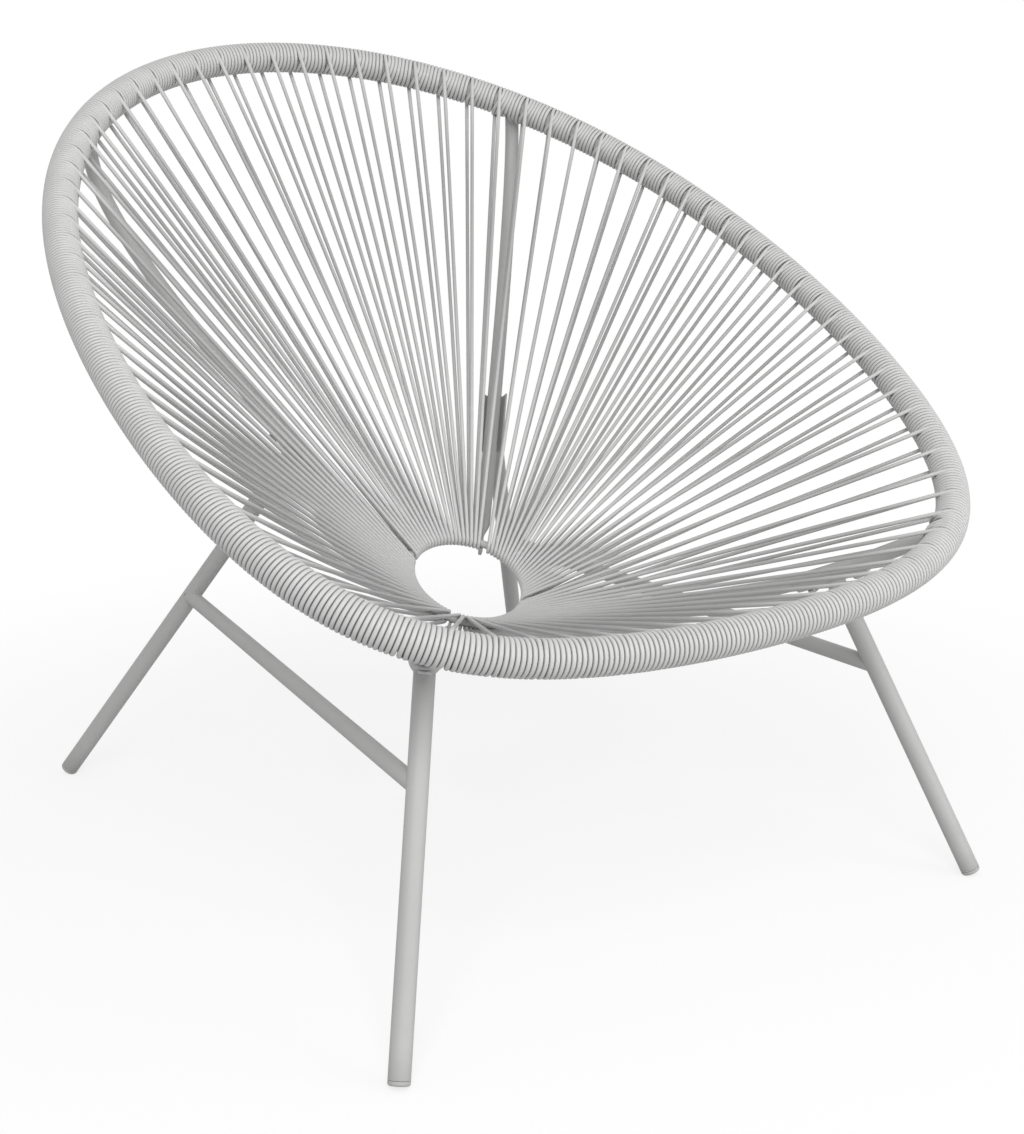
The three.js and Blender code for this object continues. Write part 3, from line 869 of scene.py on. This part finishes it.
def cord_piece(name, first_bay, last_bay, replaced):
    """The cord from the middle of one bay to the middle of another: ellipses along the path."""
    half = turn_middle.shape[1] // 2
    picked = np.arange(first_bay * bay_points + half, last_bay * bay_points + half + 1) % len(cord_middle)
    middle, outward, width = cord_middle[picked], cord_outward[picked], cord_width[picked]
    way = unit(np.gradient(middle, axis=0))
    outward = square_to(outward, way)
    across = np.cross(way, outward)
    rings = circles(middle, outward, across, cord_radius, width[:, None], cord_sides)
    run = running_length(middle) * MM
    j = np.arange(cord_sides)
    here, there = run[:-1, None] + 0 * j, run[1:, None] + 0 * j
    u = np.stack([here, here, there, there], -1)
    v = np.stack([j, j + 1, j + 1, j], -1)[None] / cord_sides + 0 * u
    uv = np.stack([u, v], axis=-1).reshape(-1, 2)
    uv = np.concatenate([uv, np.zeros((2 * cord_sides, 2))])
    freedom = np.repeat(cord_freedom[picked], cord_sides)
    new_piece(name, *skin(rings), soft_cord, "cord", replaced, uv, freedom)
    print(name, "is", round(run[-1], 1), "m long")


first, second, third, fourth = [count - 1 for count in rib_bays]
cord_piece("cord_right", first, second, ["right_cord"])
cord_piece("cord_back", second, third, ["back_cord"])
cord_piece("cord_left", third, fourth, ["left_cord"])
cord_piece("cord_front", fourth, first + loops, ["front_cord"])

# %% [markdown]
# ## Leg frames
#
# A saddle is a half pipe that the rib lies in. The leg is coped to fit it from below and
# welded, and the stretcher is coped to both legs. The coped ends come from one formula: how
# far each line of the tube runs before it meets the round surface. A short concave run
# in front of each cut is the weld.

# %% Saddles
leg_tube = 9.5
saddle_radius, saddle_wall, saddle_length = 15.0, 2.5, 75.0
saddle_lip, saddle_gap = 3.0, 0.3
saddle_depth = rib_tube + saddle_gap - (saddle_radius - saddle_wall)
saddle_steps, saddle_sides = 20, 37
end_insets = np.array([0.9, 0.45, 0.15, 0.0])
end_flat = 1.5
side_rounding, side_sharpness, lip_share = 0.5, 24, 0.9
legs = {
    "front": {"foot": np.array([339.0, -390.0, 0.0]), "share": 0.2655, "stretcher": 0.697},
    "back": {"foot": np.array([321.0, 388.0, 0.0]), "share": 0.711, "stretcher": 0.565},
}


def site(end, offset=0.0):
    """Place on the rib, its tangent and the way down to the leg, at offsets from the saddle's middle.

    The way down is the part of the line from the middle to the foot that is square to the rib.
    """
    curve, leg = curves[end], legs[end]
    length = leg["share"] * curve.length + np.asarray(offset, float)
    point, tangent = curve.at(length)
    middle, _ = curve.at(leg["share"] * curve.length)
    return point, tangent, square_to(unit(leg["foot"] - middle) + 0.0 * point, tangent)


def saddle_rings(end):
    """A half pipe: an outer arc r (cos a down + sin a aside) and an inner arc back.

    Both radii move into the wall by the inset at the two ends, and by the rounding at the lips,
    where it goes with a high power of the share of the arc.
    """
    inset = np.concatenate([end_insets, np.zeros(saddle_steps), end_insets[::-1]])
    run_out, half_flat = end_insets[::-1], saddle_length / 2 - end_flat
    offset = np.concatenate([-saddle_length / 2 + run_out, np.linspace(-half_flat, half_flat, saddle_steps),
                             saddle_length / 2 - run_out[::-1]])
    point, tangent, down = site(end, offset)
    side = np.cross(tangent, down)
    centre = point + down * saddle_depth
    spread = np.linspace(-1.0, 1.0, saddle_sides)
    outer_radius = (saddle_radius - inset)[:, None]
    inner_radius = (saddle_radius - saddle_wall + inset)[:, None]
    lip = saddle_lip + lip_share * inset[:, None]
    bulge = side_rounding * (1.0 - np.abs(spread) ** side_sharpness)[None, :]
    outer_angle = spread * np.arccos(lip / outer_radius)
    inner_angle = spread[::-1] * np.arccos(lip / inner_radius)
    angle = np.concatenate([outer_angle, inner_angle], axis=1)[..., None]
    radius = np.concatenate([outer_radius - side_rounding + bulge,
                             inner_radius + side_rounding - bulge], axis=1)[..., None]
    spoke = np.cos(angle) * down[:, None, :] + np.sin(angle) * side[:, None, :]
    return centre[:, None, :] + radius * spoke


def strip_ended(rings):
    """A skin whose section is a band folded back on itself: its ends close with quads across the band."""
    points, faces, corners = skin(rings, caps=False)
    count, sides, _ = rings.shape
    j = np.arange(sides // 2 - 1)
    near = np.stack([j, sides - 1 - j, sides - 2 - j, j + 1], axis=-1)
    far = (count - 1) * sides + near[:, ::-1]
    corners = np.concatenate([corners, near.reshape(-1), far.reshape(-1)])
    return points, np.concatenate([faces, np.full(2 * len(j), 4)]), corners


for end in legs:
    both_hands(end + "_saddle_{}_pressed", end + "_saddle_{}", saddle_rings(end), strip_ended)
print("saddles:", saddle_length, "mm long")

# %% Coped ends
tube_sides, weld_steps = 40, 6
straight_up = np.array([0.0, 0.0, 1.0])


def run_to_pipe(start, way, on_pipe, pipe_way, pipe_radius):
    """Lengths from start along way to a round pipe: the nearer root of |p - (p.w) w| = r."""
    gap = start - on_pipe
    a = way - dots(way, pipe_way) * pipe_way
    b = gap - dots(gap, pipe_way) * pipe_way
    aa, ab, bb = np.sum(a * a, -1), np.sum(a * b, -1), np.sum(b * b, -1) - pipe_radius ** 2
    return (-ab - np.sqrt(np.maximum(ab ** 2 - aa * bb, 0.0))) / aa


def coped(base, way, radius, pipe, weld):
    """Rings from a tube's wall through a concave weld to its cut on a pipe.

    Each line of the tube bends over as (1-t)^2 below + 2 (1-t) t corner + t^2 onto the pipe.
    """
    first = square_to(straight_up, way)
    second = np.cross(way, first)
    angle = np.arange(tube_sides) / tube_sides * 2.0 * np.pi
    spoke = np.cos(angle)[:, None] * first + np.sin(angle)[:, None] * second
    wall, flare = base + radius * spoke, base + (radius + weld) * spoke
    reach = run_to_pipe(wall, way, *pipe)[:, None]
    below, corner = wall + way * (reach - weld), wall + way * reach
    onto = flare + way * run_to_pipe(flare, way, *pipe)[:, None]
    t = np.linspace(0.0, 1.0, weld_steps)[:, None, None]
    return (1 - t) ** 2 * below + 2 * (1 - t) * t * corner + t ** 2 * onto


def stepped(start, finish, steps):
    """Evenly spaced rings between two rings, at the inner ones of a number of steps."""
    return mix(start, finish, np.linspace(0.0, 1.0, steps)[1:-1, None, None])


short_run = run_to_pipe(0.0 * straight_up, straight_up, 20.0 * straight_up, across_it, leg_tube)
print("20 mm to the middle of a leg is", short_run, "mm to its wall")

# %% Legs
tube_wall, edge_break, open_depth = 1.5, 0.3, 6.0
foot_cap, foot_round, foot_flat, cap_gap = 4.0, 2.0, 0.8, 0.3
leg_weld, leg_steps = 2.0, 14


def leg_frame(end):
    """The leg's foot, its way up, where it is cut square, the saddle's pipe and its place on the rib.

    The cut is so high that the cap's rounded lower edge reaches the floor, less a small flat.
    """
    foot = legs[end]["foot"]
    point, tangent, down = site(end)
    way = unit(point - foot)
    tip = math.sqrt(1.0 - way[2] ** 2)
    height = foot_round * (1.0 - way[2]) + (leg_tube - foot_round) * tip - foot_flat
    cut = foot + way * height / way[2]
    return foot, way, cut, (point + down * saddle_depth, tangent, saddle_radius), point


for end in legs:
    foot, way, cut, pipe, middle = leg_frame(end)
    lower = cut + way * (foot_cap + cap_gap)
    welded = coped(lower, way, leg_tube, pipe, leg_weld)
    spoke = (welded[0] - (lower + dots(welded[0] - lower, way) * way)) / leg_tube
    bore = leg_tube - tube_wall
    edge = [(bore, open_depth), (bore, edge_break), (bore + edge_break, 0.0),
            (leg_tube - edge_break, 0.0), (leg_tube, edge_break)]
    open_end = np.array([lower + r * spoke + h * way for r, h in edge])
    rings = np.concatenate([open_end, stepped(open_end[-1], welded[0], leg_steps), welded])
    both_hands(end + "_leg_{}_tube", end + "_leg_{}", rings)
    print(end, "leg:", round(float(np.linalg.norm(middle - foot))), "mm to the rib")

# %% Stretchers
stretcher_tube, stretcher_weld, stretcher_steps = 8.0, 1.1, 16
ends = {}
for end in legs:
    foot, way, _, _, middle = leg_frame(end)
    ends[end] = (mix(foot, middle, legs[end]["stretcher"]), way)
between = ends["back"][0] - ends["front"][0]
run, centre = unit(between), 0.5 * (ends["back"][0] + ends["front"][0])
forward = coped(centre, -run, stretcher_tube, (*ends["front"], leg_tube), stretcher_weld)
backward = coped(centre, run, stretcher_tube, (*ends["back"], leg_tube), stretcher_weld)
turned_back = np.concatenate([forward[:, :1], forward[:, :0:-1]], axis=1)[::-1]
middle_part = stepped(turned_back[-1], backward[0], stretcher_steps)
rings = np.concatenate([turned_back, middle_part, backward])
both_hands("stretcher_{}_tube", "stretcher_{}", rings)
print("stretchers:", round(float(np.linalg.norm(between))), "mm from leg to leg")

# %% [markdown]
# ## Foot caps and bolts
#
# A cap is a turned shape: a rounded plug whose lowest edge is levelled to stand on. A bolt's
# domed head has a hexagon socket. Going inwards, its rings change from circles to a
# hexagon, whose radius at an angle is the flat's distance over the cosine of the angle
# off that flat.

# %% Turned shapes
turned_sides = 48
pole = 0.01  # radius of the last ring of a closed end


def turned(profile, base, way, side, hexagon=()):
    """Rings of radius r at height h along way; rings listed as hexagon have six flats."""
    first = square_to(side, way)
    second = np.cross(way, first)
    angle = np.arange(turned_sides) / turned_sides * 2.0 * np.pi
    spoke = np.cos(angle)[:, None] * first + np.sin(angle)[:, None] * second
    flat = math.cos(math.pi / 6.0) / np.cos(np.mod(angle, np.pi / 3.0) - np.pi / 6.0)
    radius, height = np.array(profile).T[:, :, None, None]
    six_sided = np.isin(np.arange(len(profile)), list(hexagon))[:, None, None]
    return base + way * height + radius * np.where(six_sided, flat[:, None], 1.0) * spoke


def rounded(radius, r_corner, h_corner, steps, start, finish):
    """Points (r + radius cos a, h + radius sin a) between two angles in degrees."""
    angle = np.radians(np.linspace(start, finish, steps))
    return [(r_corner + radius * math.cos(a), h_corner + radius * math.sin(a)) for a in angle]


print("a quarter round starts at", rounded(foot_round, 0.0, 0.0, 3, 0.0, 90.0)[0])

# %% Foot caps
sole_radius, cap_rim = 4.0, 0.4
plug_radius, plug_top = 7.7, foot_cap + 14.0
profile = [(pole, 0.0), (sole_radius, 0.0)]
profile += rounded(foot_round, leg_tube - foot_round, foot_round, 8, -90.0, 0.0)
profile += rounded(cap_rim, leg_tube - cap_rim, foot_cap - cap_rim, 4, 0.0, 90.0)
profile += [(plug_radius, foot_cap), (plug_radius, plug_top), (pole, plug_top)]
for end in legs:
    _, way, cut, _, _ = leg_frame(end)
    rings = turned(profile, cut, way, straight_up)
    rings[..., 2] = np.maximum(rings[..., 2], 0.0)
    both_hands(end + "_cap_{}_moulded", end + "_foot_cap_{}", rings, skin, moulded_cap, "foot_cap")
print("caps:", 2 * len(legs))

# %% Bolts
bolt_spacing, head_clearance = 48.0, 0.6
head_seat = rib_tube + saddle_wall + head_clearance
shank, rim, recess = 3.0, 5.5, 2.3
shank_part = [(shank, -9.0), (shank, 0.0), (5.4, 0.0)]
rim_part = rounded(0.3, rim - 0.3, 0.3, 3, -60.0, 0.0) + [(rim, 1.1)]
dome_part = rounded(3.4, 2.6, -0.1, 9, 25.0, 84.0)[1:] + [(2.55, 3.28)]
socket_part = [(2.35, 3.12), (recess, 2.9), (recess, 1.35), (2.1, 1.2), (pole, 1.1)]
head = shank_part + rim_part + dome_part + socket_part
socket = range(len(head) - len(socket_part), len(head))
for end in legs:
    for number, place in enumerate(("outer", "inner")):
        point, tangent, down = site(end, (number - 0.5) * bolt_spacing)
        rings = turned(head, point + down * head_seat, down, tangent, socket)
        bolt = f"{end}_{place}_bolt_"
        both_hands(bolt + "{}_domed", bolt + "{}", rings, skin, plated, "fastener")
inserts = [node for name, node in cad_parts.items() if "_insert_" in name]
for node in inserts:
    node.data.materials[0] = plated
print("bolts:", 4 * len(legs), "and rivet nuts:", len(inserts))

# %% [markdown]
# ## Floor and light
#
# The picture shows the chair cut out on white. The floor keeps the chair's soft shadow near
# the feet and fades to plain white further out, so that no horizon shows. To the light that
# bounces off it, it is a mid grey, because too pale a floor lights the chair from below.

# %% Floor
floor_half, white_share = 6000.0, 0.76
bounce_grey, seen_grey = 0.5, 0.95
white = (1.0, 1.0, 1.0, 1.0)


def pale_floor():
    """A lit floor near the chair. Where the camera or a reflection sees it, it whitens with distance."""
    material, surface, coordinates = new_finish("pale_floor")
    place = Signal(coordinates.outputs["Object"])
    away = place.node("ShaderNodeVectorMath", {"operation": "LENGTH"}, {0: place}, output=1)
    seen = place.node("ShaderNodeLightPath")
    reflected = Signal(seen.socket.node.outputs["Is Glossy Ray"])
    feed(surface, base_color=bounce_grey + seen * (seen_grey - bounce_grey), roughness=0.9,
         specular_ior_level=0.0)
    glow = place.node("ShaderNodeEmission", {}, {"Color": white, "Strength": 1.0})
    share = (seen + reflected) * (white_share + (1.0 - white_share) * away.above(0.45, 1.2))
    both = place.node("ShaderNodeMixShader", {}, {0: share, 1: Signal(surface.outputs[0]), 2: glow})
    output = material.node_tree.nodes["Material Output"]
    material.node_tree.links.new(both.socket, output.inputs["Surface"])
    return material


corner_signs = np.array([[-1.0, -1.0, 0.0], [1.0, -1.0, 0.0], [1.0, 1.0, 0.0], [-1.0, 1.0, 0.0]])
floor_mesh = bpy.data.meshes.new("floor")
floor_mesh.from_pydata((corner_signs * floor_half * MM).tolist(), [], [(0, 1, 2, 3)])
floor_mesh.materials.append(pale_floor())
floor = bpy.data.objects.new("floor", floor_mesh)
bpy.context.scene.collection.objects.link(floor)
print("floor:", 2.0 * floor_half * MM, "m wide")

# %% [markdown]
# Three soft lamps stand on the camera's side: a strong one high in front and two weaker ones
# at the right. The pale room gives the rest. It is plain white only where the camera sees it,
# and two fifths of the way there in reflections.

# %% Lamps
scene = bpy.context.scene
scene.view_settings.view_transform = "Standard"
lamp_target = np.array([0.0, 0.0, 350.0])
lamp_size = 1600.0


def soft_lamp(name, place, power):
    """A square area lamp, aimed at the chair's middle, with a power in watts."""
    lamp = bpy.data.lights.new(name, "AREA")
    lamp.shape = "SQUARE"
    lamp.size = lamp_size * MM
    lamp.energy = power
    placed(bpy.data.objects.new(name, lamp), np.array(place), lamp_target)
    print(name, power, "W")


soft_lamp("front_high", (-1305.0, -1971.0, 2197.0), 43.0)
soft_lamp("right_low", (1326.0, -2659.0, 768.0), 21.0)
soft_lamp("right_high", (1406.0, -1900.0, 2197.0), 6.0)

# %% Room
room_level, mirrored_share = 0.58, 0.4
sky = bpy.data.worlds.new("white_room")
sky.use_nodes = True
scene.world = sky
backdrop = sky.node_tree.nodes["Background"]
seen = Signal(sky.node_tree.nodes.new("ShaderNodeLightPath").outputs["Is Camera Ray"])
reflected = Signal(seen.socket.node.outputs["Is Glossy Ray"])
white_part = seen.maths("MAXIMUM", seen, reflected * mirrored_share)
strength = room_level + white_part * (1.0 - room_level)
sky.node_tree.links.new(strength.socket, backdrop.inputs["Strength"])
backdrop.inputs["Color"].default_value = white
print("room:", room_level, "of white")

# %% [markdown]
